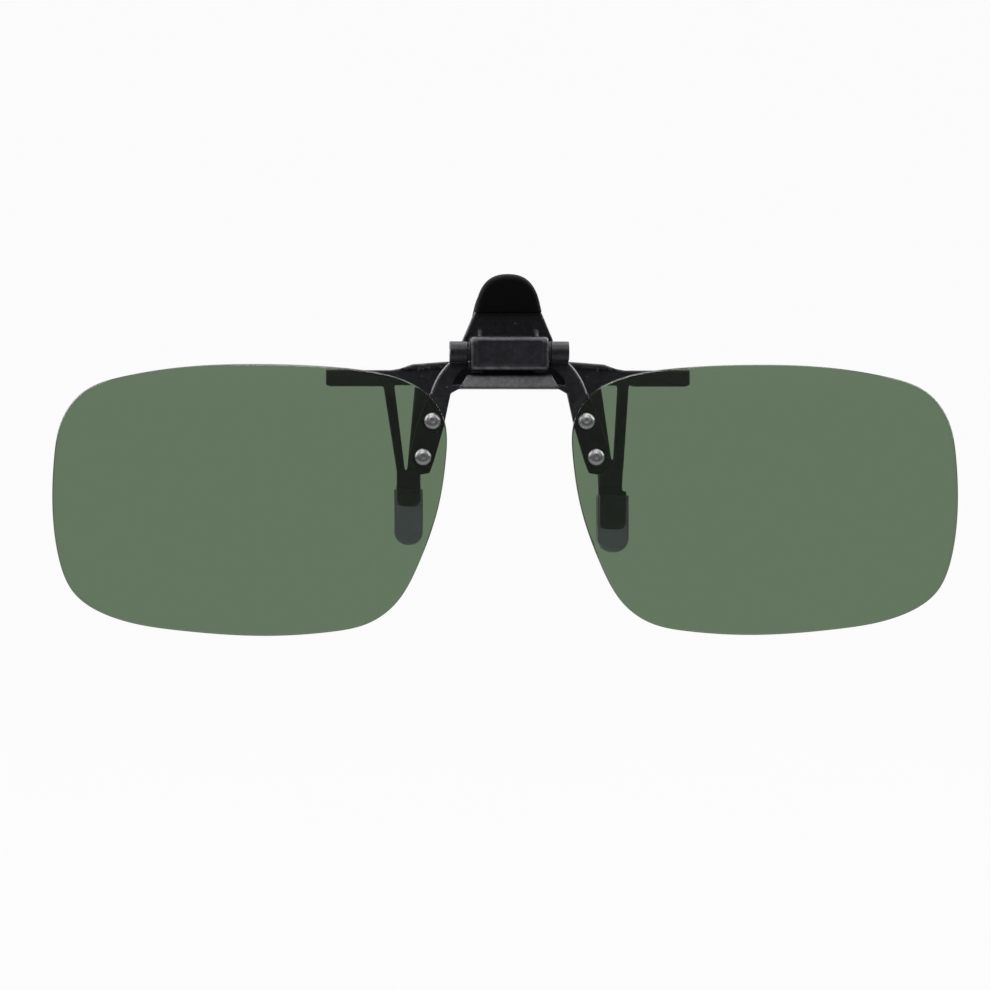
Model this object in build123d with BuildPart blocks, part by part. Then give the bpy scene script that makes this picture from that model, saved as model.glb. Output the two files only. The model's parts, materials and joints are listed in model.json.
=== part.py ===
"""Clip-on flip-up sunglasses, modelled in millimetres at real size.

The spectacle lens is gripped in the plane y = 0, the spectacle rim's top edge meets the
bars at z = 0, and the nose is on x = 0. The front is -Y, and +X is right seen from the front.
Three moulded bodies move against each other: the clamp frame, which stays on the spectacles,
the spring-loaded rear jaw behind it, and the lens carrier, which flips up in front.
"""

import os
from math import cos, radians, sin, sqrt

from build123d import *

os.makedirs("parts", exist_ok=True)

SIDES = {"left": -1, "right": 1}

# --- lenses ---------------------------------------------------------------------------------
lens_radius = 150.0  # spherical curve of the rear surface
lens_thickness = 1.1
lens_apex_y = -7.2  # rear surface at its foremost point
lens_apex_x = 24.0
lens_apex_z = -16.5
lens_edge_break = 0.12
# right lens edge, from the middle of the top edge clockwise seen from the front: (x, z)
lens_edge_points = [
    (36.0, 3.10),
    (47.0, 2.70),
    (55.5, 1.40),
    (61.4, -0.80),
    (64.4, -4.50),
    (65.7, -10.50),
    (65.9, -18.00),
    (65.1, -24.50),
    (62.9, -29.80),
    (57.6, -33.25),
    (47.6, -35.25),
    (35.0, -36.00),
    (25.7, -35.42),
    (20.2, -34.15),
    (16.6, -31.60),
    (13.1, -25.70),
    (10.3, -17.70),
    (9.15, -10.50),
    (9.55, -4.40),
    (12.0, -1.00),
    (17.0, 1.40),
    (25.0, 2.65),
]

# --- flip hinge ------------------------------------------------------------------------------
flip_y = -6.6
flip_z = 4.95
flip_pin_radius = 0.6
press_clearance = 0.01
running_clearance = 0.05
washer_radius = 1.4
washer_thickness = 0.29

# --- knuckle block of the clamp frame ----------------------------------------------------------
block_half = 5.6
block_front_y = -8.6
block_rear_y = -1.0
block_bottom = 2.2
block_top = 7.0
block_edge = 0.45
panel_half = 4.65  # sunk panel on the block's front face
panel_depth = 0.15
panel_margin = 0.55
gusset_x = 4.1
gusset_thickness = 0.5

# --- clamp frame -------------------------------------------------------------------------------
frame_front_y = -3.4
frame_rear_y = -0.2
leg_rear_y = -1.8
bar_end = 26.4
bar_top = 2.35
bar_relief = 0.15  # the bars touch the rim only on a strip near their ends
rest_inner = 18.2
rest_outer = 26.0
strip_bottom = -0.4
stop_gap = 0.1
ridge_height = 0.75  # raised ridge along the top of each shoulder
ridge_depth = 0.35

# --- stems, grip tongues and sleeves: the two sides are not alike --------------------------------
stem_x = {"left": 14.45, "right": 15.0}
stem_half = 1.72
strut_top_x = {"left": 16.65, "right": 16.0}  # inner edge of the outer strut at the bar
strut_foot_x = {"left": 14.98, "right": 15.24}
grip_x = {"left": 14.43, "right": 15.4}
tongue_half = {"left": 1.75, "right": 1.95}
tongue_thickness = 1.1
tongue_end = {"left": -17.5, "right": -20.8}
sleeve_wall = 0.43
sleeve_side_wall = 0.32
sleeve_face = 0.1  # distance from the clamp plane
sleeve_top = {"left": -14.9, "right": -15.8}
sleeve_end = {"left": -23.0, "right": -24.1}
sleeve_round = 0.5
fit_gap = 0.02

# --- finger tongues and caps -----------------------------------------------------------------------
finger_root_z = 6.5
finger_thickness = 1.6
front_lean = 8.0
rear_lean = 16.7
cap_wall = 0.6
cap_round = 0.7

# --- rear jaw ---------------------------------------------------------------------------------------
jaw_y = 2.6
jaw_z = 3.4
jaw_pin_radius = 0.6
jaw_boss_radius = 1.9
frame_ear = (3.0, 4.8)  # inner and outer |x| of the clamp frame's pivot ears
jaw_ear = (5.0, 6.8)
jaw_leg_front_y = 3.5
jaw_leg_rear_y = 4.9
back_plate_y = 4.8
back_plate_thickness = 1.4

# --- jaw spring ----------------------------------------------------------------------------------------
coil_radius = 1.25
wire_radius = 0.25
coil_pitch = 0.62
coil_turns = 5
front_leg_lean = 21.2
rear_leg_lean = 11.6
spring_leg_length = 6.5

# --- lens bridge -----------------------------------------------------------------------------------------
ear_inner = 5.95
ear_outer = 8.6
ear_radius = 1.45
arm_front_y = -5.8
arm_rear_y = -4.4
arm_round = 0.5  # rounding of each arm's outer front edge
crossbar_front_y = -7.4
crossbar_rear_y = -5.0
crossbar_top = 1.6
crossbar_slope = 0.55  # how far its front face leans back
crossbar_bottom = -0.43
plate_thickness = 1.5
plate_gap = 0.03

# --- rivets -----------------------------------------------------------------------------------------------
rivet_places = {"upper": (11.2, -5.2), "lower": (12.56, -10.34)}
rivet_radius = 0.5
rivet_head_radius = 1.22
rivet_head_height = 0.62
rivet_tail_radius = 0.8
rivet_tail_height = 0.35
backing_radius = 1.1
backing_thickness = 0.25


def front_plane(y):
    """Upright plane at depth y, seen from the front: local x is +X and local y is +Z."""
    return Plane.XZ.offset(-y)


def lens_centre(side):
    """Centre of the lens's sphere on one side."""
    return Vector(side * lens_apex_x, lens_apex_y + lens_radius, lens_apex_z)


def rivet_seat(side, place):
    """Point on the lens's rear surface under a rivet, and the outward normal there."""
    x, z = place
    centre = lens_centre(side)
    reach = sqrt(lens_radius**2 - (x - lens_apex_x) ** 2 - (z - lens_apex_z) ** 2)
    point = Vector(side * x, centre.Y - reach, z)
    return point, (point - centre).normalized()


def save(piece, name):
    """Label a finished piece and write it as a STEP file."""
    piece.part.label = name
    export_step(piece.part, f"parts/{name}.step")


def mirrored(piece, side):
    """Solid of a right-hand piece, reflected when the left one is wanted."""
    if side > 0:
        return piece.part
    return mirror(piece.part, about=Plane.YZ)


# =============================== lenses ====================================================
with BuildPart() as lens_blank:
    with Locations(lens_centre(1)):
        Sphere(lens_radius + lens_thickness)
        Sphere(lens_radius, mode=Mode.SUBTRACT)
    with BuildSketch(front_plane(10)) as lens_outline:
        with BuildLine():
            Spline(*lens_edge_points, periodic=True)
        make_face()
    extrude(amount=25, mode=Mode.INTERSECT)
    rim_edges = lens_blank.edges()
    chamfer(rim_edges, lens_edge_break)

with BuildPart() as right_lens:
    add(lens_blank.part)
    for place in rivet_places.values():
        seat, normal = rivet_seat(1, place)
        with Locations(Plane(origin=seat, z_dir=normal).location):
            Cylinder(rivet_radius + fit_gap, 4 * lens_thickness, mode=Mode.SUBTRACT)

for side_name, side in SIDES.items():
    with BuildPart() as lens:
        add(mirrored(right_lens, side))
    save(lens, f"{side_name}_lens")


# =============================== rivets and their washers ====================================
# Both blanks stand on z, with z = 0 on the lens's rear surface, and are then set in place.
tail = -plate_gap - plate_thickness - backing_thickness - 0.005
dome_radius = (rivet_head_radius**2 + rivet_head_height**2) / (2 * rivet_head_height)
with BuildPart() as rivet_blank:
    with BuildSketch(Plane.XZ):
        with BuildLine():
            dome_start = (rivet_head_radius, lens_thickness)
            dome_top = (0, lens_thickness + rivet_head_height)
            RadiusArc(dome_start, dome_top, -dome_radius)
            Polyline(
                dome_top,
                (0, tail - rivet_tail_height),
                (rivet_tail_radius * 0.75, tail - rivet_tail_height),
                (rivet_tail_radius, tail - rivet_tail_height * 0.6),
                (rivet_tail_radius, tail),
                (rivet_radius, tail),
                (rivet_radius, lens_thickness),
                dome_start,
            )
        make_face()
    revolve(axis=Axis.Z)

with BuildPart() as backing_blank:
    with BuildSketch(Plane.XY.offset(tail)):
        Circle(backing_radius)
        Circle(rivet_radius + fit_gap, mode=Mode.SUBTRACT)
    extrude(amount=backing_thickness)

for side_name, side in SIDES.items():
    for place_name, place in rivet_places.items():
        seat, normal = rivet_seat(side, place)
        seat_location = Plane(origin=seat, z_dir=normal).location
        for blank, kind in ((rivet_blank, "lens_rivet"), (backing_blank, "rivet_washer")):
            with BuildPart() as fastener:
                add(blank.part.moved(seat_location))
            save(fastener, f"{kind}_{side_name}_{place_name}")


# =============================== lens bridge =================================================
# rivet plate: follows the curve of the lens it carries
with BuildPart() as rivet_plate:
    with Locations(lens_centre(1)):
        Sphere(lens_radius - plate_gap)
        Sphere(lens_radius - plate_gap - plate_thickness, mode=Mode.SUBTRACT)
    with BuildSketch(front_plane(0)) as plate_outline:
        with BuildLine():
            Polyline(
                (8.42, -1.1),
                (9.35, -5.5),
                (10.9, -10.9),
                (11.55, -12.6),
                (13.0, -12.85),
                (13.95, -12.2),
                (14.45, -9.9),
                (13.05, -4.7),
                (11.45, -1.1),
                close=True,
            )
        make_face()
        fillet(plate_outline.vertices().group_by(Axis.Y)[0], 0.5)
        fillet(plate_outline.vertices().sort_by(Axis.X)[-1], 1.2)
    extrude(amount=12, mode=Mode.INTERSECT)

with BuildPart() as arm:
    with BuildSketch(front_plane(arm_rear_y)) as arm_outline:
        with BuildLine():
            outer_start = (ear_outer, flip_z - ear_radius)
            outer_end = (11.45, -1.3)
            ThreePointArc(outer_start, (10.35, 1.35), outer_end)
            inner_end = (8.45, -1.3)
            Polyline(outer_end, (11.75, -2.2), (8.65, -2.2), inner_end)
            inner_start = (ear_inner, 2.75)
            ThreePointArc(inner_end, (7.75, 1.1), inner_start)
            Polyline(
                inner_start,
                (ear_inner, flip_z + ear_radius),
                (ear_outer, flip_z + ear_radius),
                outer_start,
            )
        make_face()
    extrude(amount=arm_rear_y - arm_front_y)
    front_edges = arm.edges().group_by(Axis.Y)[0].filter_by(GeomType.CIRCLE)
    fillet(front_edges.sort_by(Axis.X)[-1], arm_round)
    # ear: a round boss on the flip axis, joined to the arm behind it
    with BuildSketch(Plane.YZ.offset(ear_inner)) as ear_outline:
        with Locations((flip_y, flip_z)):
            Circle(ear_radius)
        with Locations((flip_y, flip_z)):
            Rectangle(
                arm_rear_y - flip_y, 2 * ear_radius, align=(Align.MIN, Align.CENTER)
            )
    extrude(amount=ear_outer - ear_inner)
    # foot that ties the arm to the crossbar under the dark window between them
    with BuildSketch(front_plane(arm_rear_y)):
        with BuildLine():
            Polyline(
                (6.2, 0.35),
                (8.3, 0.15),
                (9.0, -1.1),
                (8.42, -1.1),
                (7.2, crossbar_bottom),
                (6.2, crossbar_bottom),
                close=True,
            )
        make_face()
    extrude(amount=arm_rear_y - arm_front_y)

with BuildPart() as lens_bridge:
    # crossbar: its sloping front face narrows towards the top
    with BuildSketch(Plane.YZ.offset(-ear_outer)):
        with BuildLine():
            Polyline(
                (crossbar_rear_y, crossbar_bottom),
                (crossbar_front_y, crossbar_bottom),
                (crossbar_front_y, crossbar_bottom + 0.25),
                (crossbar_front_y + crossbar_slope, crossbar_top),
                (crossbar_rear_y, crossbar_top),
                close=True,
            )
        make_face()
    extrude(amount=2 * ear_outer)
    with BuildSketch(front_plane(0)):
        with BuildLine():
            Polyline(
                (-7.2, crossbar_bottom),
                (7.2, crossbar_bottom),
                (6.07, crossbar_top),
                (-6.07, crossbar_top),
                close=True,
            )
        make_face()
    extrude(amount=12, mode=Mode.INTERSECT)
    for side in SIDES.values():
        add(mirrored(arm, side))
        add(mirrored(rivet_plate, side))
    # running holes for the flip pin, and the rivet holes
    with Locations((0, flip_y, flip_z)):
        Cylinder(
            flip_pin_radius + running_clearance,
            4 * ear_outer,
            rotation=(0, 90, 0),
            mode=Mode.SUBTRACT,
        )
    for side in SIDES.values():
        for place in rivet_places.values():
            seat, normal = rivet_seat(side, place)
            with Locations(Plane(origin=seat, z_dir=normal).location):
                Cylinder(rivet_radius + fit_gap, 5 * plate_thickness, mode=Mode.SUBTRACT)
save(lens_bridge, "lens_bridge")


# =============================== clamp frame =====================================================
def finger_plane(face_y, lean):
    """Plane in a finger tongue's front face; local y runs up along it, and lean tips it forwards."""
    tilt = radians(lean)
    return Plane(
        origin=(0, face_y, finger_root_z),
        x_dir=(1, 0, 0),
        z_dir=(0, -cos(tilt), -sin(tilt)),
    )


def finger_outline(inset):
    """Edge of the domed fingertip as drawn in its own plane, drawn in by inset."""
    foot = Vector(4.9 - inset, 4.25)
    shoulder = Vector(4.55 - inset, 5.75)
    crown = Vector(0, 9.75 - inset)
    slope = foot - shoulder
    left_foot = Vector(-foot.X, foot.Y)
    left_shoulder = Vector(-shoulder.X, shoulder.Y)
    Line(left_foot, left_shoulder)
    Spline(left_shoulder, crown, shoulder, tangents=[(slope.X, -slope.Y), slope])
    Line(shoulder, foot)
    Line(foot, left_foot)


def build_finger(plane, thickness):
    """Tapering finger tongue with a narrower tip for its cap."""
    with BuildPart() as finger:
        with BuildSketch(plane):
            with BuildLine():
                Polyline((-6.65, 0), (6.65, 0), (4.85, 4.25), (-4.85, 4.25), close=True)
            make_face()
            with BuildLine():
                finger_outline(cap_wall)
            make_face()
        extrude(amount=-thickness)
    return finger


def build_cap(plane, thickness):
    """Rubber cap that fits over a tongue's tip."""
    with BuildPart() as cap:
        with BuildSketch(plane.offset(cap_wall)):
            with BuildLine():
                finger_outline(0)
            make_face()
        extrude(amount=-(thickness + 2 * cap_wall))
        broad_faces = cap.faces().sort_by(SortBy.AREA)[-2:]
        rim = broad_faces.edges().filter_by(lambda edge: edge.center().Z > finger_root_z + 4.6)
        fillet(rim, cap_round)
        with BuildSketch(plane.offset(fit_gap)):
            with BuildLine():
                finger_outline(cap_wall - fit_gap)
            make_face()
        extrude(amount=-(thickness + 2 * fit_gap), mode=Mode.SUBTRACT)
    return cap


def build_tongues(rear_y):
    """Pair of flat grip tongues that carry sleeves."""
    with BuildPart() as tongues:
        for side_name, side in SIDES.items():
            top = sleeve_top[side_name] + 0.6
            end = tongue_end[side_name]
            with BuildSketch(front_plane(rear_y)) as outline:
                with Locations((side * grip_x[side_name], (top + end) / 2)):
                    Rectangle(2 * tongue_half[side_name], top - end)
                fillet(outline.vertices().group_by(Axis.Y)[0], 1.1)
            extrude(amount=tongue_thickness)
    return tongues


def build_sleeve(side_name, side, inner_y, sign):
    """Grip sleeve; sign is -1 for the front sleeve and +1 for the rear one."""
    top = sleeve_top[side_name]
    end = sleeve_end[side_name]
    inner_half = tongue_half[side_name]
    outer_half = inner_half + sleeve_side_wall
    depth = tongue_thickness + 2 * sleeve_wall
    rear_y = sign * sleeve_face + (depth if sign > 0 else 0)
    with BuildPart() as sleeve:
        with BuildSketch(front_plane(rear_y)) as outline:
            with Locations((side * grip_x[side_name], (top + end) / 2)):
                Rectangle(2 * outer_half, top - end)
            fillet(outline.vertices().group_by(Axis.Y)[0], outer_half * 0.92)
        extrude(amount=depth)
        long_edges = sleeve.edges().filter_by(lambda edge: edge.center().Z < top - 0.01)
        fillet(long_edges.filter_by(Axis.Y, reverse=True), sleeve_round)
        with BuildSketch(front_plane(inner_y + fit_gap)) as pocket:
            pocket_end = tongue_end[side_name] - fit_gap
            with Locations((side * grip_x[side_name], (top + 1 + pocket_end) / 2)):
                Rectangle(2 * (inner_half + fit_gap), top + 1 - pocket_end)
            fillet(pocket.vertices().group_by(Axis.Y)[0], 1.1)
        extrude(amount=tongue_thickness + 2 * fit_gap, mode=Mode.SUBTRACT)
    return sleeve


tongue_near = sleeve_face + sleeve_wall  # tongue face next to the clamp plane
tongue_far = tongue_near + tongue_thickness

front_finger_plane = finger_plane(block_rear_y - 0.07 - finger_thickness, front_lean)
front_finger = build_finger(front_finger_plane, finger_thickness)
front_tongues = build_tongues(-tongue_near)

with BuildPart() as front_clamp_frame:
    # flat profile: strip, shoulders, bars, V struts and stems, drawn from the front
    for side_name, side in SIDES.items():
        stem_inner = stem_x[side_name] - stem_half
        stem_outer = stem_x[side_name] + stem_half
        with BuildSketch(front_plane(frame_rear_y)) as profile:
            with BuildLine():
                Polyline(
                    (0, strip_bottom),
                    (side * 11.0, strip_bottom),
                    (side * 13.0, bar_relief),
                    (side * rest_inner, bar_relief),
                    (side * rest_inner, 0),
                    (side * rest_outer, 0),
                    (side * rest_outer, bar_relief),
                    (side * bar_end, bar_relief),
                    (side * bar_end, bar_top),
                    (side * 17.0, bar_top),
                    (side * 15.6, 2.6),
                    (side * 13.9, 3.2),
                    (side * 8.8, 3.6),
                    (0, 3.9),
                    close=True,
                )
            make_face()
            # inner leg
            with BuildLine():
                Polyline(
                    (side * 10.9, 1.0),
                    (side * 13.35, 1.0),
                    (side * (stem_inner + 1.97), -12.4),
                    (side * stem_inner, -12.4),
                    close=True,
                )
            make_face()
            # outer strut
            with BuildLine():
                Polyline(
                    (side * strut_top_x[side_name], 1.0),
                    (side * (strut_top_x[side_name] + 1.6), 1.0),
                    (side * stem_outer, -12.4),
                    (side * strut_foot_x[side_name], -12.4),
                    close=True,
                )
            make_face()
            # stem where both meet
            with BuildLine():
                Polyline(
                    (side * stem_inner, -12.2),
                    (side * stem_outer, -12.2),
                    (side * stem_outer, sleeve_top[side_name] + 0.1),
                    (side * stem_inner, sleeve_top[side_name] + 0.1),
                    close=True,
                )
            make_face()
        extrude(amount=frame_rear_y - frame_front_y)
    # side profile: deep bars, slim legs that step back to the clamp plane
    with BuildSketch(Plane.YZ.offset(-bar_end)):
        with BuildLine():
            Polyline(
                (frame_rear_y, 5),
                (frame_rear_y, 0),
                (leg_rear_y, 0),
                (leg_rear_y, -11.0),
                (-tongue_near, -13.9),
                (-tongue_near, -16),
                (-tongue_far, -16),
                (-tongue_far, -14.6),
                (frame_front_y, -11.8),
                (frame_front_y, 5),
                close=True,
            )
        make_face()
    extrude(amount=2 * bar_end, mode=Mode.INTERSECT)
    # rest strips on the underside of the bars
    for side in SIDES.values():
        with Locations((side * (rest_inner + rest_outer) / 2, frame_rear_y, 0)):
            Box(
                rest_outer - rest_inner,
                frame_rear_y - frame_front_y,
                2 * bar_relief,
                align=(Align.CENTER, Align.MAX, Align.MIN),
            )
    add(front_tongues.part)
    # ridge along the top of each shoulder
    for side in SIDES.values():
        with BuildSketch(front_plane(frame_front_y + 0.2)):
            with BuildLine():
                Polyline(
                    (side * 8.8, 3.6),
                    (side * 13.9, 3.2),
                    (side * 15.6, 2.6),
                    (side * 13.7, 3.2 - ridge_height),
                    (side * 8.8, 3.6 - ridge_height),
                    close=True,
                )
            make_face()
        extrude(amount=ridge_depth + 0.2)
    # knuckle block
    with BuildSketch(Plane.YZ.offset(-block_half)) as block_profile:
        with BuildLine():
            Polyline(
                (block_front_y, block_bottom),
                (block_rear_y, block_bottom),
                (block_rear_y, block_top),
                (block_front_y, block_top),
                close=True,
            )
        make_face()
        fillet(block_profile.vertices().group_by(Axis.X)[0], 2 * block_edge)
    extrude(amount=2 * block_half)
    side_faces = front_clamp_frame.faces().filter_by(Axis.X)
    block_sides = side_faces.filter_by(lambda face: face.center().Y < frame_front_y - 0.5)
    outer_edges = block_sides.edges().filter_by(
        lambda edge: edge.center().Y < frame_front_y - 1 and edge.center().Z > block_bottom
    )
    chamfer(outer_edges, block_edge * 0.6)
    with Locations((0, block_front_y, (block_bottom + block_top) / 2)):
        Box(
            2 * panel_half,
            2 * panel_depth,
            block_top - block_bottom - 2 * panel_margin,
            mode=Mode.SUBTRACT,
        )
    # stop that the crossbar rests against with the lenses down
    with Locations((0, frame_front_y + 0.2, (strip_bottom + 0.2 + block_bottom + 0.3) / 2)):
        Box(
            8.0,
            crossbar_rear_y * -1 + frame_front_y + 0.2 - stop_gap,
            block_bottom + 0.3 - strip_bottom - 0.2,
            align=(Align.CENTER, Align.MAX, Align.CENTER),
        )
    add(front_finger.part)
    # gussets between the block and the finger tongue
    for side in SIDES.values():
        with BuildSketch(Plane.YZ.offset(side * gusset_x - gusset_thickness / 2)):
            with BuildLine():
                Polyline(
                    (-4.3, block_top - 0.2),
                    (-2.3, block_top - 0.2),
                    (-2.3, block_top + 1.2),
                    (-2.9, block_top + 1.2),
                    (-4.3, block_top),
                    close=True,
                )
            make_face()
        extrude(amount=gusset_thickness)
    # ears for the jaw pivot
    for side in SIDES.values():
        ear_start = frame_ear[0] if side > 0 else -frame_ear[1]
        with BuildSketch(Plane.YZ.offset(ear_start)):
            with Locations((jaw_y, jaw_z)):
                Circle(jaw_boss_radius)
                Rectangle(
                    jaw_y - block_rear_y + 0.5,
                    2 * jaw_boss_radius,
                    align=(Align.MAX, Align.CENTER),
                )
        extrude(amount=frame_ear[1] - frame_ear[0])
    with Locations((0, flip_y, flip_z)):
        Cylinder(
            flip_pin_radius + press_clearance,
            4 * block_half,
            rotation=(0, 90, 0),
            mode=Mode.SUBTRACT,
        )
    with Locations((0, jaw_y, jaw_z)):
        Cylinder(
            jaw_pin_radius + press_clearance,
            4 * block_half,
            rotation=(0, 90, 0),
            mode=Mode.SUBTRACT,
        )
save(front_clamp_frame, "front_clamp_frame")

save(build_cap(front_finger_plane, finger_thickness), "front_finger_cap")


# =============================== rear jaw ===========================================================
rear_finger_plane = finger_plane(back_plate_y, -rear_lean)
rear_finger = build_finger(rear_finger_plane, back_plate_thickness)
rear_tongues = build_tongues(tongue_far)

with BuildPart() as rear_jaw:
    for side_name, side in SIDES.items():
        leg_inner = stem_x[side_name] - stem_half + 0.15
        leg_outer = stem_x[side_name] + stem_half - 0.1
        with BuildSketch(front_plane(jaw_leg_rear_y)):
            # band behind the shoulder, then a leg down to the stem
            with BuildLine():
                Polyline(
                    (side * jaw_ear[0], 0.7),
                    (side * 10.3, 0.7),
                    (side * 11.5, -0.5),
                    (side * leg_inner, -12.6),
                    (side * leg_inner, sleeve_top[side_name] + 0.1),
                    (side * leg_outer, sleeve_top[side_name] + 0.1),
                    (side * leg_outer, -13.4),
                    (side * (stem_x[side_name] + 0.1), -12.2),
                    (side * 13.3, 1.5),
                    (side * 11.0, 3.1),
                    (side * jaw_ear[0], 3.1),
                    close=True,
                )
            make_face()
        extrude(amount=jaw_leg_rear_y)
    with BuildSketch(Plane.YZ.offset(-bar_end)):
        with BuildLine():
            Polyline(
                (jaw_leg_rear_y, 5),
                (jaw_leg_rear_y, -10.2),
                (tongue_far, -14.8),
                (tongue_far, -16),
                (tongue_near, -16),
                (tongue_near, -14.4),
                (jaw_leg_front_y, -9.6),
                (jaw_leg_front_y, 5),
                close=True,
            )
        make_face()
    extrude(amount=2 * bar_end, mode=Mode.INTERSECT)
    add(rear_tongues.part)
    # back plate and pivot ears
    with BuildSketch(front_plane(back_plate_y + back_plate_thickness)) as back_plate:
        with BuildLine():
            Polyline(
                (-jaw_ear[1], jaw_z - jaw_boss_radius),
                (jaw_ear[1], jaw_z - jaw_boss_radius),
                (jaw_ear[1], jaw_z + jaw_boss_radius),
                (6.5, finger_root_z + 0.3),
                (-6.5, finger_root_z + 0.3),
                (-jaw_ear[1], jaw_z + jaw_boss_radius),
                close=True,
            )
        make_face()
    extrude(amount=back_plate_thickness)
    for side in SIDES.values():
        ear_start = jaw_ear[0] if side > 0 else -jaw_ear[1]
        with BuildSketch(Plane.YZ.offset(ear_start)):
            with Locations((jaw_y, jaw_z)):
                Circle(jaw_boss_radius)
                Rectangle(
                    back_plate_y + back_plate_thickness - jaw_y,
                    2 * jaw_boss_radius,
                    align=(Align.MIN, Align.CENTER),
                )
        extrude(amount=jaw_ear[1] - jaw_ear[0])
    add(rear_finger.part)
    with Locations((0, jaw_y, jaw_z)):
        Cylinder(
            jaw_pin_radius + running_clearance,
            4 * jaw_ear[1],
            rotation=(0, 90, 0),
            mode=Mode.SUBTRACT,
        )
save(rear_jaw, "rear_jaw")

save(build_cap(rear_finger_plane, back_plate_thickness), "rear_finger_cap")

for side_name, side in SIDES.items():
    save(build_sleeve(side_name, side, -tongue_near, -1), f"front_grip_sleeve_{side_name}")
    save(build_sleeve(side_name, side, tongue_far, 1), f"rear_grip_sleeve_{side_name}")


# =============================== pins, washers and spring ===========================================
def build_pin(half_length, radius, y, z):
    """Plain steel pin along X with broken ends."""
    with BuildPart() as pin:
        with Locations((0, y, z)):
            Cylinder(radius, 2 * half_length, rotation=(0, 90, 0))
        chamfer(pin.edges().filter_by(GeomType.CIRCLE), radius * 0.25)
    return pin


save(build_pin(ear_outer, flip_pin_radius, flip_y, flip_z), "flip_hinge_pin")
save(build_pin(jaw_ear[1], jaw_pin_radius, jaw_y, jaw_z), "jaw_pivot_pin")

for side_name, side in SIDES.items():
    start = block_half + fit_gap
    with BuildPart() as flip_washer:
        with BuildSketch(Plane.YZ.offset(start if side > 0 else -start - washer_thickness)):
            with Locations((flip_y, flip_z)):
                Circle(washer_radius)
                Circle(flip_pin_radius + fit_gap, mode=Mode.SUBTRACT)
        extrude(amount=washer_thickness)
    save(flip_washer, f"flip_washer_{side_name}")

# Torsion spring: the coil runs from the front leg, down and round, to the rear leg. Angles are
# measured about the pivot from +Y towards +Z.
start_angle = 180 + front_leg_lean
sweep_angle = 360 * coil_turns + (360 - rear_leg_lean) - start_angle
coil_length = coil_pitch * sweep_angle / 360
coil_plane = Plane(
    origin=(-coil_length / 2, jaw_y, jaw_z),
    x_dir=(0, cos(radians(start_angle)), sin(radians(start_angle))),
    z_dir=(1, 0, 0),
)
with BuildLine() as coil_blank:
    Helix(pitch=coil_pitch, height=coil_length, radius=coil_radius)
coil = coil_blank.line.moved(coil_plane.location)

with BuildPart() as jaw_spring:
    with BuildSketch(Plane(origin=coil @ 0, z_dir=coil % 0)):
        Circle(wire_radius)
    sweep(path=coil, is_frenet=True)
    # straight legs that leave the coil along its tangents
    for end, heading in ((0, -1), (1, 1)):
        with BuildSketch(Plane(origin=coil @ end, z_dir=(coil % end) * heading)):
            Circle(wire_radius)
        extrude(amount=spring_leg_length)
save(jaw_spring, "jaw_spring")
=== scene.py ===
"""Studio scene for the clip-on flip-up sunglasses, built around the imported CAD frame."""

import json
from math import cos, pi, radians, sin, sqrt

import bmesh
import bpy
import numpy as np
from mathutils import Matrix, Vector


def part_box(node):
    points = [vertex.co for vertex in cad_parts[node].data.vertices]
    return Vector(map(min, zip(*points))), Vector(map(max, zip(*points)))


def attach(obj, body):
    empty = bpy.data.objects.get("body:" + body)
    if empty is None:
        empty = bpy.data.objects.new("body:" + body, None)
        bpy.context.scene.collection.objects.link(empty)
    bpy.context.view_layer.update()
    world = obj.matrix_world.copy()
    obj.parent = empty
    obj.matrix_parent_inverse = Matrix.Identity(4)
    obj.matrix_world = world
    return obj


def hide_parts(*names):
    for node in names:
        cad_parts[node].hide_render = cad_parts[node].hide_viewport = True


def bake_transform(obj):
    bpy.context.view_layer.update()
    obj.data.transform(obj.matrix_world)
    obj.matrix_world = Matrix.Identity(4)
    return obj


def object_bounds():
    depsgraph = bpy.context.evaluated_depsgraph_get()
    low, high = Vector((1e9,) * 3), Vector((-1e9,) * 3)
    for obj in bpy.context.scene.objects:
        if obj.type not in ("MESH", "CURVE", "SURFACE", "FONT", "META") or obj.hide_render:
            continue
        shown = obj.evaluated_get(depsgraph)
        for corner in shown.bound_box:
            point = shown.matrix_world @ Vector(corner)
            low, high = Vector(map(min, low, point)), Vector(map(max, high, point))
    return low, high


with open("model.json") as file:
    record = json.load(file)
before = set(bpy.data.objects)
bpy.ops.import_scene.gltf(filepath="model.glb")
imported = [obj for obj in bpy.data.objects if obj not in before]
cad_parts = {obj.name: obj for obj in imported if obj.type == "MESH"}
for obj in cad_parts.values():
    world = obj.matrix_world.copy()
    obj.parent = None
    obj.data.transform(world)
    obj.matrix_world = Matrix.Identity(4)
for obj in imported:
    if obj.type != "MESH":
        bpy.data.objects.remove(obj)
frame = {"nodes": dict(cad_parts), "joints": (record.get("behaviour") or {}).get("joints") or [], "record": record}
cad_box = [list(corner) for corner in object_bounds()]

MM = 0.001
SIDES = ("left", "right")
LEVELS = ("upper", "lower")
BODY_OF = {
    node: body
    for body, nodes in frame["record"]["behaviour"]["bodies"].items()
    for node in nodes
}
SLOT_OF = {entry["node"]: entry["material_slot"] for entry in frame["record"]["subparts"]}
JOINTS = {joint["name"]: joint for joint in frame["joints"]}

# ------------------------------------------------------------------------------------------
# camera
# ------------------------------------------------------------------------------------------
CAMERA_DISTANCE = 0.5
CAMERA_YAW = radians(-2.6)  # a little to the left of straight in front
FRAME_WIDTH = 0.1434  # width of the picture in the plane of the lenses
CAMERA_FALL = -0.003  # slope of the line of sight
AIM = Vector((-1.95, -4.0, -15.75)) * MM
SENSOR = 36.0


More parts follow.
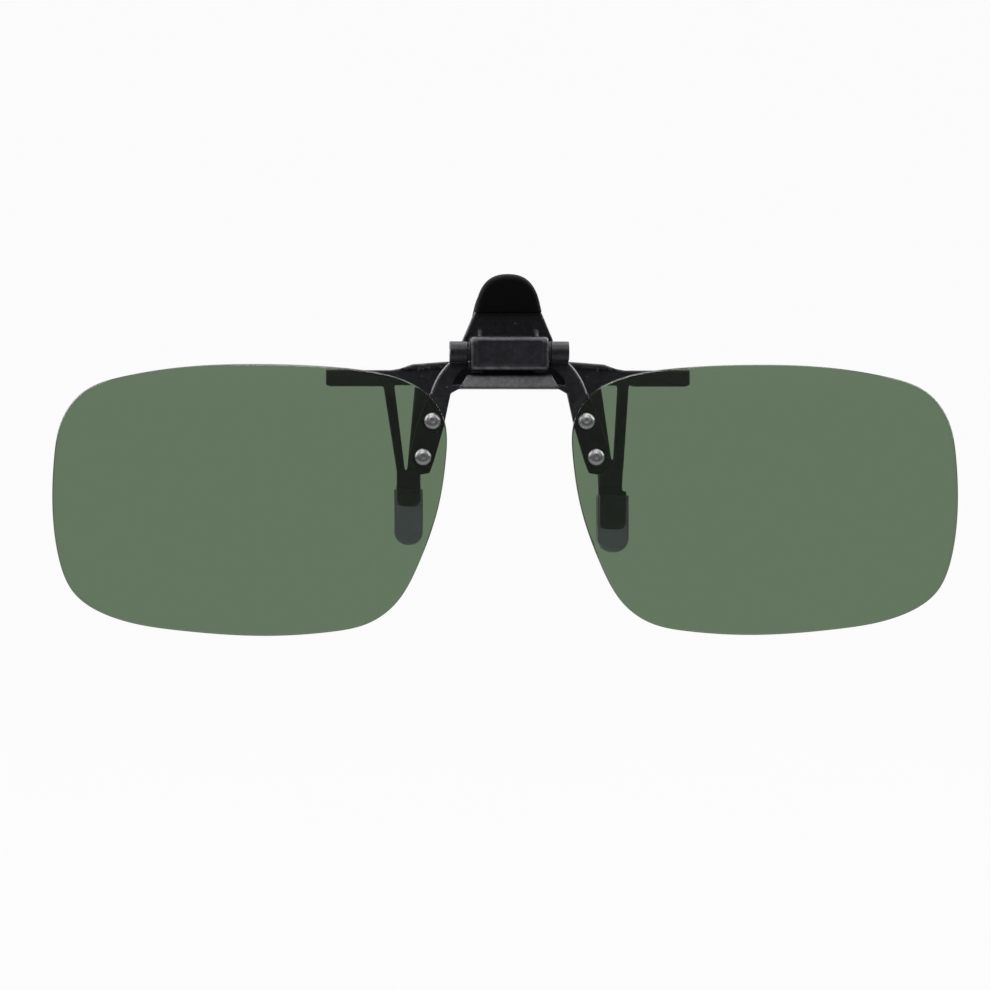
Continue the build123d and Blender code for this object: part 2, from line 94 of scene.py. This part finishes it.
def make_camera():
    """Camera at the front, nearly level with the lenses."""
    data = bpy.data.cameras.new("camera")
    data.sensor_width = SENSOR
    data.lens = SENSOR * CAMERA_DISTANCE / FRAME_WIDTH
    data.clip_start = 0.01
    camera = bpy.data.objects.new("camera", data)
    direction = Vector((-sin(CAMERA_YAW), cos(CAMERA_YAW), CAMERA_FALL)).normalized()
    camera.location = AIM - direction * CAMERA_DISTANCE
    camera.rotation_euler = direction.to_track_quat("-Z", "Y").to_euler()
    bpy.context.scene.collection.objects.link(camera)
    bpy.context.scene.camera = camera


# ------------------------------------------------------------------------------------------
# shader helpers
# ------------------------------------------------------------------------------------------
class Shader:
    """Small builder for one node material."""

    def __init__(self, name):
        self.material = bpy.data.materials.new(name)
        self.material.use_nodes = True
        self.nodes = self.material.node_tree.nodes
        self.links = self.material.node_tree.links
        self.principled = self.nodes["Principled BSDF"]

    def set(self, **values):
        """Sets the shader's own sockets; spaces in names are written as underscores."""
        for key, value in values.items():
            self.principled.inputs[key.replace("_", " ")].default_value = value

    def node(self, kind, inputs=None, **properties):
        """Adds a node; inputs maps socket names or numbers to values or other sockets."""
        made = self.nodes.new(kind)
        for key, value in properties.items():
            setattr(made, key, value)
        for key, value in (inputs or {}).items():
            if isinstance(value, bpy.types.NodeSocket):
                self.links.new(value, made.inputs[key])
            else:
                made.inputs[key].default_value = value
        return made

    def feed(self, socket, source):
        """Links a socket into one of the shader's inputs."""
        self.links.new(source, self.principled.inputs[socket])

    def coordinates(self):
        """The piece's own coordinates, in metres."""
        return self.node("ShaderNodeTexCoord").outputs["Object"]

    def normal(self):
        """The surface's direction in the piece's own coordinates."""
        return self.node("ShaderNodeTexCoord").outputs["Normal"]

    def noise(self, scale, detail=3.0, roughness=0.55, stretch=(1, 1, 1)):
        """Noise pattern, with scale in cycles per millimetre."""
        mapping = self.node(
            "ShaderNodeMapping",
            {"Vector": self.coordinates(), "Scale": Vector(stretch) * scale / MM},
        )
        return self.node(
            "ShaderNodeTexNoise",
            {
                "Vector": mapping.outputs["Vector"],
                "Scale": 1.0,
                "Detail": detail,
                "Roughness": roughness,
            },
        ).outputs["Fac"]

    def spots(self, scale):
        """Distance to the nearest of scattered points, with scale in points per millimetre."""
        mapping = self.node(
            "ShaderNodeMapping",
            {"Vector": self.coordinates(), "Scale": Vector((1, 1, 1)) * scale / MM},
        )
        return self.node(
            "ShaderNodeTexVoronoi", {"Vector": mapping.outputs["Vector"], "Scale": 1.0}
        ).outputs["Distance"]

    def remap(self, value, low, high, to_low, to_high):
        """Linear remap with clamping."""
        return self.node(
            "ShaderNodeMapRange",
            {0: value, 1: low, 2: high, 3: to_low, 4: to_high},
        ).outputs[0]

    def math(self, operation, a, b):
        """One arithmetic node."""
        return self.node("ShaderNodeMath", {0: a, 1: b}, operation=operation).outputs[0]

    def size(self, value):
        """A number without its sign."""
        return self.node("ShaderNodeMath", {0: value}, operation="ABSOLUTE").outputs[0]

    def split(self, vector):
        """The three components of a vector socket."""
        return self.node("ShaderNodeSeparateXYZ", {"Vector": vector}).outputs

    def mix(self, factor, a, b):
        """Mix of two colours."""
        made = self.node("ShaderNodeMix", data_type="RGBA")
        for index, value in ((0, factor), (6, a), (7, b)):
            if isinstance(value, bpy.types.NodeSocket):
                self.links.new(value, made.inputs[index])
            else:
                made.inputs[index].default_value = value
        return made.outputs[2]

    def inside(self, low, high, soft=0.35):
        """1 inside a box of the piece's own coordinates, in millimetres, with soft sides."""
        place = self.split(self.coordinates())
        result = 1.0
        for axis, (start, end) in enumerate(zip(low, high)):
            value = place[axis]
            rising = self.remap(value, start * MM, (start + soft) * MM, 0.0, 1.0)
            falling = self.remap(value, (end - soft) * MM, end * MM, 1.0, 0.0)
            result = self.math("MULTIPLY", result, self.math("MULTIPLY", rising, falling))
        return result

    def bump(self, *layers):
        """Stacks bump layers of (height socket, strength, depth in millimetres)."""
        normal = None
        for height, strength, depth in layers:
            inputs = {"Height": height, "Strength": strength, "Distance": depth * MM}
            if normal is not None:
                inputs["Normal"] = normal
            normal = self.node("ShaderNodeBump", inputs).outputs["Normal"]
        self.feed("Normal", normal)


def rgb(red, green, blue):
    """Colour with full alpha, from linear values."""
    return (red, green, blue, 1.0)


def black_plastic(name="moulded_black", sheen_box=None):
    """Semi-gloss injection-moulded black: grain, mottling, dust specks, and edges painted lighter, partly as wear
    and partly as painted highlight.

    The optional last argument is the box of a band painted grey as a painted sheen, its low and high corners in
    millimetres; when it is given, the arms' rounded edges also get a painted highlight.
    """
    s = Shader(name)
    s.set(IOR=1.5, Specular_IOR_Level=0.30)
    grain = s.noise(5.5, 4.0)
    mottle = s.remap(s.noise(1.6, 5.0, 0.7), 0.42, 0.68, 0.0, 1.0)
    flow = s.noise(0.35, 3.0, 0.6, (1.0, 1.0, 0.35))
    scratches = s.noise(2.4, 2.0, 0.5, (0.12, 1.0, 1.3))
    patchy = s.remap(s.noise(0.45, 2.0), 0.47, 0.56, 0.0, 1.0)
    specks = s.math("MULTIPLY", s.remap(s.spots(0.8), 0.06, 0.11, 1.0, 0.0), patchy)
    # edges painted lighter: partly wear, partly painted highlight
    edge = s.remap(s.node("ShaderNodeNewGeometry").outputs["Pointiness"], 0.506, 0.56, 0.0, 1.0)
    edge_wear_and_highlight = s.math("MULTIPLY", edge, s.remap(s.noise(0.8, 3.0), 0.35, 0.65, 0.35, 1.0))
    body = s.mix(mottle, rgb(0.0055, 0.0051, 0.0078), rgb(0.0160, 0.0148, 0.0205))
    if sheen_box:
        # painted highlight: the arms' rounded edges that face sideways and forward are painted bright as far down
        # as the lenses
        facing = s.split(s.normal())
        rounding = s.math(
            "MULTIPLY",
            s.remap(s.size(facing[0]), 0.25, 0.55, 0.0, 0.9),
            s.remap(facing[1], -0.2, -0.5, 0.0, 1.0),
        )
        above = s.inside((-12.5, -9.0, -2.4), (12.5, -3.0, 7.0), 1.2)
        reach = s.size(s.split(s.coordinates())[0])
        outer = s.remap(reach, 8.1 * MM, 9.1 * MM, 0.12, 1.0)
        above = s.math("MULTIPLY", above, outer)
        edge_wear_and_highlight = s.math("MULTIPLY", s.math("MAXIMUM", edge_wear_and_highlight, rounding), above)
        # painted sheen: the crossbar band inside the box is painted grey in place of its shine
        painted_sheen = s.math("MULTIPLY", s.inside(*sheen_box), s.remap(mottle, 0.0, 1.0, 0.55, 1.0))
        body = s.mix(painted_sheen, body, rgb(0.115, 0.112, 0.124))
    # worn edges and, on the bridge, the arms' painted highlights are painted a lighter grey
    wear_and_highlight_colour = s.mix(edge_wear_and_highlight, body, rgb(0.120, 0.117, 0.130))
    s.feed("Base Color", s.mix(s.math("MULTIPLY", specks, 0.45), wear_and_highlight_colour, rgb(0.22, 0.22, 0.23)))
    rough = s.remap(flow, 0.3, 0.7, 0.36, 0.52)
    s.feed("Roughness", s.math("SUBTRACT", rough, s.math("MULTIPLY", edge_wear_and_highlight, 0.08)))
    s.bump((grain, 0.35, 0.012), (scratches, 0.25, 0.010), (specks, 0.3, 0.02))
    return s.material


def cap_rubber():
    """Soft matte black rubber with a very fine skin."""
    s = Shader("cap_rubber")
    s.set(IOR=1.45, Specular_IOR_Level=0.10)
    skin = s.noise(7.0, 3.0)
    cloud = s.noise(0.5, 2.0)
    s.feed("Base Color", s.mix(cloud, rgb(0.0010, 0.0010, 0.0013), rgb(0.0022, 0.0022, 0.0027)))
    s.feed("Roughness", s.remap(cloud, 0.3, 0.7, 0.62, 0.78))
    s.bump((skin, 0.3, 0.010))
    return s.material


LENS_TINT = rgb(0.131, 0.186, 0.118)
LENS_EDGE_TINT = rgb(0.022, 0.034, 0.022)  # the edge is seen through far more plastic


def lens_green():
    """Grey-green tinted lens, clear and polished, darker round its edge."""
    s = Shader("lens_green")
    edge = s.remap(s.size(s.split(s.normal())[1]), 0.75, 0.93, 1.0, 0.0)
    s.feed("Base Color", s.mix(edge, LENS_TINT, LENS_EDGE_TINT))
    s.set(IOR=1.49, Transmission_Weight=1.0, Specular_IOR_Level=0.5, Roughness=0.015)
    s.bump((s.noise(0.03, 1.0), 0.04, 0.02))
    return s.material


def sleeve_vinyl():
    """Soft translucent lilac-grey vinyl."""
    s = Shader("sleeve_vinyl")
    s.set(IOR=1.40, Transmission_Weight=0.9, Specular_IOR_Level=0.3)
    cloud = s.noise(0.6, 2.0)
    s.feed("Base Color", s.mix(cloud, rgb(0.58, 0.53, 0.67), rgb(0.68, 0.62, 0.76)))
    s.feed("Roughness", s.remap(cloud, 0.3, 0.7, 0.16, 0.26))
    s.bump((s.noise(3.5, 2.0), 0.15, 0.010))
    return s.material


def steel(name, shade, low_rough, high_rough, stretch):
    """Bare metal with drawn or turned marks along one direction."""
    s = Shader(name)
    s.set(Metallic=1.0)
    marks = s.noise(3.0, 3.0, 0.6, stretch)
    tint = rgb(shade, shade, shade * 1.02)
    dull = rgb(shade * 0.72, shade * 0.72, shade * 0.75)
    s.feed("Base Color", s.mix(marks, dull, tint))
    s.feed("Roughness", s.remap(marks, 0.3, 0.7, low_rough, high_rough))
    s.bump((marks, 0.12, 0.006))
    return s.material


def black_nylon():
    """Matte black nylon washer."""
    s = Shader("black_nylon")
    s.set(Specular_IOR_Level=0.3)
    cloud = s.noise(1.2, 3.0)
    s.feed("Base Color", s.mix(cloud, rgb(0.007, 0.007, 0.008), rgb(0.016, 0.016, 0.018)))
    s.feed("Roughness", s.remap(cloud, 0.3, 0.7, 0.5, 0.7))
    s.bump((s.noise(5.0), 0.2, 0.008))
    return s.material


MATERIALS = {
    "black_plastic": black_plastic(),
    "green_lens": lens_green(),
    "cap_rubber": cap_rubber(),
    "grey_sleeve": sleeve_vinyl(),
    "rivet_steel": steel("rivet_steel", 0.27, 0.34, 0.46, (1, 1, 1)),
    "pin_steel": steel("pin_steel", 0.50, 0.25, 0.42, (0.1, 1, 1)),
    "spring_steel": steel("spring_steel", 0.42, 0.24, 0.38, (0.6, 1, 1)),
    "nylon_washer": black_nylon(),
}
# the bridge's crossbar gets a painted grey sheen between its arms, and its arms' edges a painted highlight
OWN_MATERIALS = {
    "lens_bridge": black_plastic("moulded_black_bridge", ((-6.9, -9.0, -0.5), (6.9, -5.2, 1.5)))
}


# ------------------------------------------------------------------------------------------
# mesh helpers
# ------------------------------------------------------------------------------------------
def new_object(name, vertices, faces):
    """Mesh object from plain lists, with its normals turned outwards."""
    mesh = bpy.data.meshes.new(name)
    mesh.from_pydata([tuple(v) for v in vertices], [], faces)
    builder = bmesh.new()
    builder.from_mesh(mesh)
    bmesh.ops.remove_doubles(builder, verts=builder.verts, dist=1e-7)
    bmesh.ops.recalc_face_normals(builder, faces=builder.faces)
    builder.to_mesh(mesh)
    builder.free()
    mesh.shade_smooth()
    made = bpy.data.objects.new(name, mesh)
    bpy.context.scene.collection.objects.link(made)
    return made


def finish_piece(piece, node, body=None):
    """Gives a piece its node's material and sets it in the node's place."""
    piece.data.materials.clear()
    piece.data.materials.append(OWN_MATERIALS.get(node, MATERIALS[SLOT_OF[node]]))
    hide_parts(node)
    if body:
        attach(piece, body)


def apply_modifiers(piece):
    """Turns a piece's modifiers into mesh."""
    graph = bpy.context.evaluated_depsgraph_get()
    mesh = bpy.data.meshes.new_from_object(piece.evaluated_get(graph), depsgraph=graph)
    piece.modifiers.clear()
    piece.data = mesh


def moulded(node, voxel, passes):
    """Copy of a CAD node as a moulding: every edge and corner softly rounded."""
    piece = bpy.data.objects.new(f"{node}_moulding", frame["nodes"][node].data.copy())
    bpy.context.scene.collection.objects.link(piece)
    remesh = piece.modifiers.new("remesh", "REMESH")
    remesh.mode = "VOXEL"
    remesh.voxel_size = voxel * MM
    smooth = piece.modifiers.new("smooth", "SMOOTH")
    smooth.factor = 0.5
    smooth.iterations = passes
    apply_modifiers(piece)
    piece.data.shade_smooth()
    finish_piece(piece, node, BODY_OF[node])
    return piece


def keep_node(node, bevel):
    """Keeps a CAD node that is already right, with its Blender material and a soft edge."""
    piece = frame["nodes"][node]
    piece.data.materials.clear()
    piece.data.materials.append(MATERIALS[SLOT_OF[node]])
    weld = piece.modifiers.new("weld", "WELD")
    weld.merge_threshold = 0.0005 * MM
    edge = piece.modifiers.new("bevel", "BEVEL")
    edge.width = bevel * MM
    edge.segments = 3
    edge.limit_method = "ANGLE"
    edge.angle_limit = radians(40)


# ------------------------------------------------------------------------------------------
# lenses
# ------------------------------------------------------------------------------------------
LENS_RADIUS = 150.0 * MM  # curve of the rear surface
LENS_THICKNESS = 1.1 * MM
LENS_APEX = Vector((24.0, -7.2, -16.5)) * MM  # foremost point of the rear surface
EDGE_ROUND = 0.24 * MM
OUTLINE_POINTS = 384
SURFACE_RINGS = 26
SPLINE_STEPS = 64  # between neighbouring points of the edge
ROUND_STEPS = 5  # over each rounded corner of the edge
# right lens edge in millimetres, clockwise from the middle of the top edge: (x, z)
LENS_EDGE = (
    (36.0, 3.10), (47.0, 2.70), (55.5, 1.40), (61.4, -0.80), (64.4, -4.50), (65.7, -10.50),
    (65.9, -18.00), (65.1, -24.50), (62.9, -29.80), (57.6, -33.25), (47.6, -35.25),
    (35.0, -36.00), (25.7, -35.42), (20.2, -34.15), (16.6, -31.60), (13.1, -25.70),
    (10.3, -17.70), (9.15, -10.50), (9.55, -4.40), (12.0, -1.00), (17.0, 1.40), (25.0, 2.65),
)


def lens_depth(side, x, z, radius):
    """Depth of a lens surface of that radius at (x, z)."""
    dx = side * x - LENS_APEX.x
    dz = z - LENS_APEX.z
    return LENS_APEX.y + LENS_RADIUS - sqrt(radius**2 - dx**2 - dz**2)


def lens_outline(side):
    """Evenly spaced (x, z) points on the smooth closed edge of a lens, and its normals."""
    knots = np.array(LENS_EDGE) * MM * (side, 1)
    count = len(knots)
    steps = np.roll(knots, -1, axis=0) - knots
    after = np.linalg.norm(steps, axis=1)
    before = np.roll(after, 1)
    chords = steps / after[:, None]
    # slopes that make the cubic spline through the knots smooth all the way round
    rows = np.arange(count)
    system = np.zeros((count, count))
    system[rows, rows] = 2 * (before + after)
    system[rows, rows - 1] = after
    system[rows, (rows + 1) % count] = before
    pull = after[:, None] * np.roll(chords, 1, axis=0) + before[:, None] * chords
    slopes = np.linalg.solve(system, 3 * pull)
    fine = []
    for index in range(count):
        ahead = (index + 1) % count
        for t in np.arange(0, 1, 1 / SPLINE_STEPS):
            fine.append(
                (2 * t**3 - 3 * t**2 + 1) * knots[index]
                + (t**3 - 2 * t**2 + t) * after[index] * slopes[index]
                + (3 * t**2 - 2 * t**3) * knots[ahead]
                + (t**3 - t**2) * after[index] * slopes[ahead]
            )
    fine = np.array(fine + fine[:1])
    travelled = np.append(0, np.cumsum(np.linalg.norm(np.diff(fine, axis=0), axis=1)))
    places = travelled[-1] * np.arange(OUTLINE_POINTS) / OUTLINE_POINTS
    outline = np.stack([np.interp(places, travelled, fine[:, axis]) for axis in (0, 1)], axis=1)
    along = np.roll(outline, -1, axis=0) - np.roll(outline, 1, axis=0)
    along /= np.linalg.norm(along, axis=1)[:, None]
    return outline, np.stack([-along[:, 1], along[:, 0]], axis=1) * side


def build_lens(side_name):
    """Lens as two concentric spherical surfaces joined by a polished, rounded edge."""
    side = -1 if side_name == "left" else 1
    node = f"{side_name}_lens"
    outline, normals = lens_outline(side)
    low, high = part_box(node)
    centre = np.array(((low.x + high.x) / 2, (low.z + high.z) / 2))
    front = LENS_RADIUS + LENS_THICKNESS
    # rounding profile: (distance in from the edge, radius of the surface it lies on)
    profile = []
    for step in range(ROUND_STEPS + 1):
        turn = pi / 2 * step / ROUND_STEPS
        profile.append((EDGE_ROUND * (1 - sin(turn)), front - EDGE_ROUND * (1 - cos(turn))))
    for step in range(1, 4):
        profile.append((0.0, front - EDGE_ROUND - (LENS_THICKNESS - 2 * EDGE_ROUND) * step / 4))
    for step in range(ROUND_STEPS + 1):
        turn = pi / 2 * step / ROUND_STEPS
        profile.append(
            (EDGE_ROUND * (1 - cos(turn)), LENS_RADIUS + EDGE_ROUND * (1 - sin(turn)))
        )
    # even rings over each surface, with close ones at the edge that keep the surface true
    spread = [((step / SURFACE_RINGS) ** 0.8, EDGE_ROUND) for step in range(1, SURFACE_RINGS)]
    spread += [(1.0, EDGE_ROUND * more) for more in (3.0, 1.8, 1.3, 1.08, 1.0)]
    rings = [(scale, inset, front) for scale, inset in spread]
    rings += [(1.0, inset, radius) for inset, radius in profile[1:-1]]
    rings += [(scale, inset, LENS_RADIUS) for scale, inset in reversed(spread)]

    vertices = [(centre[0], lens_depth(side, *centre, front), centre[1])]
    for scale, inset, radius in rings:
        for x, z in centre + scale * (outline - normals * inset - centre):
            vertices.append((x, lens_depth(side, x, z, radius), z))
    vertices.append((centre[0], lens_depth(side, *centre, LENS_RADIUS), centre[1]))

    count = len(outline)
    faces = []
    last = len(vertices) - 1
    for step in range(count):
        after = (step + 1) % count
        faces.append((0, 1 + step, 1 + after))
        for ring in range(len(rings) - 1):
            a = 1 + ring * count
            b = a + count
            faces.append((a + step, b + step, b + after, a + after))
        a = 1 + (len(rings) - 1) * count
        faces.append((a + step, last, a + after))
    piece = new_object(f"{node}_polished", vertices, faces)
    finish_piece(piece, node, BODY_OF[node])


# ------------------------------------------------------------------------------------------
# turned pieces: rivets
# ------------------------------------------------------------------------------------------
RIVET_SEGMENTS = 64
TAIL_HEIGHT = 0.35 * MM
SHANK_SHARE = 0.43  # of the head's radius
TAIL_SHARE = 0.69


def turned(name, profile, origin, axis):
    """Surface of revolution: profile is (radius, height) from one pole to the other."""
    side = axis.orthogonal().normalized()
    other = axis.cross(side)
    vertices, faces = [origin + axis * profile[0][1]], []
    for radius, height in profile[1:-1]:
        for step in range(RIVET_SEGMENTS):
            angle = 2 * pi * step / RIVET_SEGMENTS
            spoke = side * cos(angle) + other * sin(angle)
            vertices.append(origin + axis * height + spoke * radius)
    vertices.append(origin + axis * profile[-1][1])
    last = len(vertices) - 1
    rings = len(profile) - 2
    for step in range(RIVET_SEGMENTS):
        after = (step + 1) % RIVET_SEGMENTS
        faces.append((0, 1 + step, 1 + after))
        for ring in range(rings - 1):
            a = 1 + ring * RIVET_SEGMENTS
            b = a + RIVET_SEGMENTS
            faces.append((a + step, b + step, b + after, a + after))
        a = 1 + (rings - 1) * RIVET_SEGMENTS
        faces.append((a + step, last, a + after))
    return new_object(name, vertices, faces)


def build_rivet(side_name, level):
    """Domed rivet with a rolled rim and a shallow dimple, set square to the lens."""
    node = f"lens_rivet_{side_name}_{level}"
    side = -1 if side_name == "left" else 1
    low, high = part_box(f"rivet_washer_{side_name}_{level}")
    middle = (low + high) / 2
    centre = Vector((side * LENS_APEX.x, LENS_APEX.y + LENS_RADIUS, LENS_APEX.z))
    axis = (middle - centre).normalized()
    seat = centre + axis * LENS_RADIUS
    corners = [Vector(v.co) for v in frame["nodes"][node].data.vertices]
    heights = [(v - seat).dot(axis) for v in corners]
    top, bottom = max(heights), min(heights)
    head = max(((v - seat) - axis * (v - seat).dot(axis)).length for v in corners)
    face = LENS_THICKNESS
    rise = top - face
    profile = [(0.0, top - 0.05 * rise)]
    for share, height in (
        (0.10, 0.955), (0.20, 0.97), (0.28, 0.99), (0.36, 1.0), (0.48, 0.97), (0.60, 0.89),
        (0.72, 0.77), (0.83, 0.61), (0.91, 0.44), (0.965, 0.28), (0.995, 0.14), (1.0, 0.06),
        (0.985, 0.0),
    ):
        profile.append((share * head, face + height * rise))
    shank = SHANK_SHARE * head
    tail = TAIL_SHARE * head
    tail_top = bottom + TAIL_HEIGHT
    profile += [
        (shank, face),
        (shank, tail_top),
        (tail * 0.96, tail_top),
        (tail, tail_top - 0.05 * MM),
        (tail, bottom + 0.14 * MM),
        (tail * 0.93, bottom + 0.06 * MM),
        (tail * 0.78, bottom),
        (tail * 0.3, bottom),
        (0.0, bottom + 0.03 * MM),
    ]
    piece = turned(f"{node}_turned", profile, seat, axis)
    finish_piece(piece, node, BODY_OF[node])


# ------------------------------------------------------------------------------------------
# jaw spring
# ------------------------------------------------------------------------------------------
WIRE_RADIUS = 0.25 * MM
WIRE_SIDES = 16
COIL_RADIUS = 1.25 * MM
COIL_PITCH = 0.62 * MM
COIL_TURNS = 5
FRONT_LEG_LEAN = 21.2
REAR_LEG_LEAN = 11.6
LEG_LENGTH = 6.5 * MM
COIL_STEP = radians(9)


def build_spring():
    """Torsion spring: two straight legs running off a close coil on the jaw pivot."""
    pivot = Vector(JOINTS["jaw_open"]["pos_m"])
    start = radians(180 + FRONT_LEG_LEAN)
    swept = radians(360 * COIL_TURNS + 360 - REAR_LEG_LEAN) - start
    rise = COIL_PITCH / (2 * pi)
    coil_length = rise * swept

    def on_coil(angle):
        """Point and unit tangent on the coil, by angle turned from its start."""
        turn = start + angle
        radial = Vector((0, cos(turn), sin(turn)))
        along = Vector((rise * angle - coil_length / 2, 0, 0))
        tangent = Vector((rise, -COIL_RADIUS * sin(turn), COIL_RADIUS * cos(turn)))
        return pivot + along + radial * COIL_RADIUS, tangent.normalized()

    path = []
    first, first_tangent = on_coil(0)
    for share in (1.0, 0.985, 0.8, 0.6, 0.4, 0.2, 0.08):
        path.append((first - first_tangent * LEG_LENGTH * share, first_tangent))
    steps = int(swept / COIL_STEP)
    for step in range(steps + 1):
        path.append(on_coil(swept * step / steps))
    last, last_tangent = on_coil(swept)
    for share in (0.08, 0.2, 0.4, 0.6, 0.8, 0.985, 1.0):
        path.append((last + last_tangent * LEG_LENGTH * share, last_tangent))

    vertices, faces = [], []
    across = Vector((1, 0, 0))
    for index, (point, tangent) in enumerate(path):
        side = (across - tangent * across.dot(tangent)).normalized()
        up = tangent.cross(side)
        end = index in (0, len(path) - 1)
        radius = WIRE_RADIUS * (0.72 if end else 1.0)
        for step in range(WIRE_SIDES):
            angle = 2 * pi * step / WIRE_SIDES
            vertices.append(point + (side * cos(angle) + up * sin(angle)) * radius)
    for ring in range(len(path) - 1):
        for step in range(WIRE_SIDES):
            after = (step + 1) % WIRE_SIDES
            a, b = ring * WIRE_SIDES, (ring + 1) * WIRE_SIDES
            faces.append((a + step, a + after, b + after, b + step))
    faces.append(tuple(range(WIRE_SIDES)))
    base = (len(path) - 1) * WIRE_SIDES
    faces.append(tuple(base + step for step in range(WIRE_SIDES)))
    piece = new_object("jaw_spring_wire", vertices, faces)
    finish_piece(piece, "jaw_spring")
    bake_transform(piece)


# ------------------------------------------------------------------------------------------
# stage
# ------------------------------------------------------------------------------------------
FLOOR_DROP = 60 * MM
FLOOR_FRONT = -0.12
STAGE_HALF = 1.6
WALL_Y = 1.1
WALL_TOP = 1.4
SWEEP_RADIUS = 0.35
SWEEP_STEPS = 16


def stage_material():
    """Plain white paper that glows a little, so it stays even."""
    s = Shader("stage_white")
    s.set(Specular_IOR_Level=0.0, Roughness=1.0)
    fibre = s.noise(0.02, 2.0)
    s.feed("Base Color", s.mix(fibre, rgb(0.005, 0.005, 0.005), rgb(0.007, 0.007, 0.007)))
    s.set(Emission_Color=rgb(1, 1, 1), Emission_Strength=0.96)
    return s.material


def build_stage():
    """Floor that sweeps up into a wall behind the object."""
    floor_z = cad_box[0][2] - FLOOR_DROP
    rail = [(FLOOR_FRONT, floor_z), (WALL_Y - SWEEP_RADIUS, floor_z)]
    for step in range(1, SWEEP_STEPS + 1):
        turn = pi / 2 * step / SWEEP_STEPS
        rail.append(
            (
                WALL_Y - SWEEP_RADIUS + SWEEP_RADIUS * sin(turn),
                floor_z + SWEEP_RADIUS * (1 - cos(turn)),
            )
        )
    rail.append((WALL_Y, WALL_TOP))
    vertices = [(x, y, z) for y, z in rail for x in (-STAGE_HALF, STAGE_HALF)]
    faces = [(2 * i, 2 * i + 1, 2 * i + 3, 2 * i + 2) for i in range(len(rail) - 1)]
    sweep = new_object("stage_sweep", vertices, faces)
    sweep.data.materials.append(stage_material())


def add_light(name, location, size, power):
    """Soft area light aimed at the middle of the object."""
    data = bpy.data.lights.new(name, "AREA")
    data.shape = "DISK"
    data.size = size
    data.energy = power
    light = bpy.data.objects.new(name, data)
    light.location = location
    light.rotation_euler = (-Vector(location)).to_track_quat("-Z", "Y").to_euler()
    bpy.context.scene.collection.objects.link(light)


def build_world():
    """White surroundings that light the object mostly from above."""
    world = bpy.data.worlds.new("studio")
    world.use_nodes = True
    nodes, links = world.node_tree.nodes, world.node_tree.links
    background = nodes["Background"]
    background.inputs["Color"].default_value = (1, 1, 1, 1)
    direction = nodes.new("ShaderNodeTexCoord").outputs["Generated"]
    split = nodes.new("ShaderNodeSeparateXYZ")
    links.new(direction, split.inputs[0])
    sky = nodes.new("ShaderNodeMapRange")
    links.new(split.outputs["Z"], sky.inputs[0])
    for index, value in ((1, 0.2), (2, 0.8), (3, 0.16), (4, 0.75)):
        sky.inputs[index].default_value = value
    # seen directly or through the lenses, the surroundings are as white as the paper
    path = nodes.new("ShaderNodeLightPath")
    seen = nodes.new("ShaderNodeMath")
    seen.operation = "MAXIMUM"
    links.new(path.outputs["Is Camera Ray"], seen.inputs[0])
    links.new(path.outputs["Is Transmission Ray"], seen.inputs[1])
    strength = nodes.new("ShaderNodeMix")
    links.new(seen.outputs[0], strength.inputs[0])
    links.new(sky.outputs[0], strength.inputs[2])
    strength.inputs[3].default_value = 0.97
    links.new(strength.outputs[0], background.inputs["Strength"])
    bpy.context.scene.world = world


def build_light():
    """Small key light in front, and large soft lights overhead and to each side."""
    add_light("key", (-0.05, -0.60, 0.55), 0.35, 2.2)
    add_light("top", (0.0, 0.10, 0.8), 0.80, 6.0)
    add_light("edge_left", (-0.72, 0.10, 0.48), 0.80, 10.0)
    add_light("edge_right", (0.72, 0.10, 0.48), 0.80, 10.0)
    bpy.context.scene.view_settings.view_transform = "Standard"


# ------------------------------------------------------------------------------------------
# assembly
# ------------------------------------------------------------------------------------------
make_camera()
for moulding, voxel in (("front_clamp_frame", 0.145), ("rear_jaw", 0.13), ("lens_bridge", 0.11)):
    moulded(moulding, voxel, 5)
for cap in ("front_finger_cap", "rear_finger_cap"):
    moulded(cap, 0.12, 6)
for side_name in SIDES:
    build_lens(side_name)
    for place in ("front", "rear"):
        moulded(f"{place}_grip_sleeve_{side_name}", 0.09, 4)
    keep_node(f"flip_washer_{side_name}", 0.04)
    for level in LEVELS:
        build_rivet(side_name, level)
        keep_node(f"rivet_washer_{side_name}_{level}", 0.05)
for pin in ("flip_hinge_pin", "jaw_pivot_pin"):
    keep_node(pin, 0.03)
build_spring()
build_stage()
build_world()
build_light()
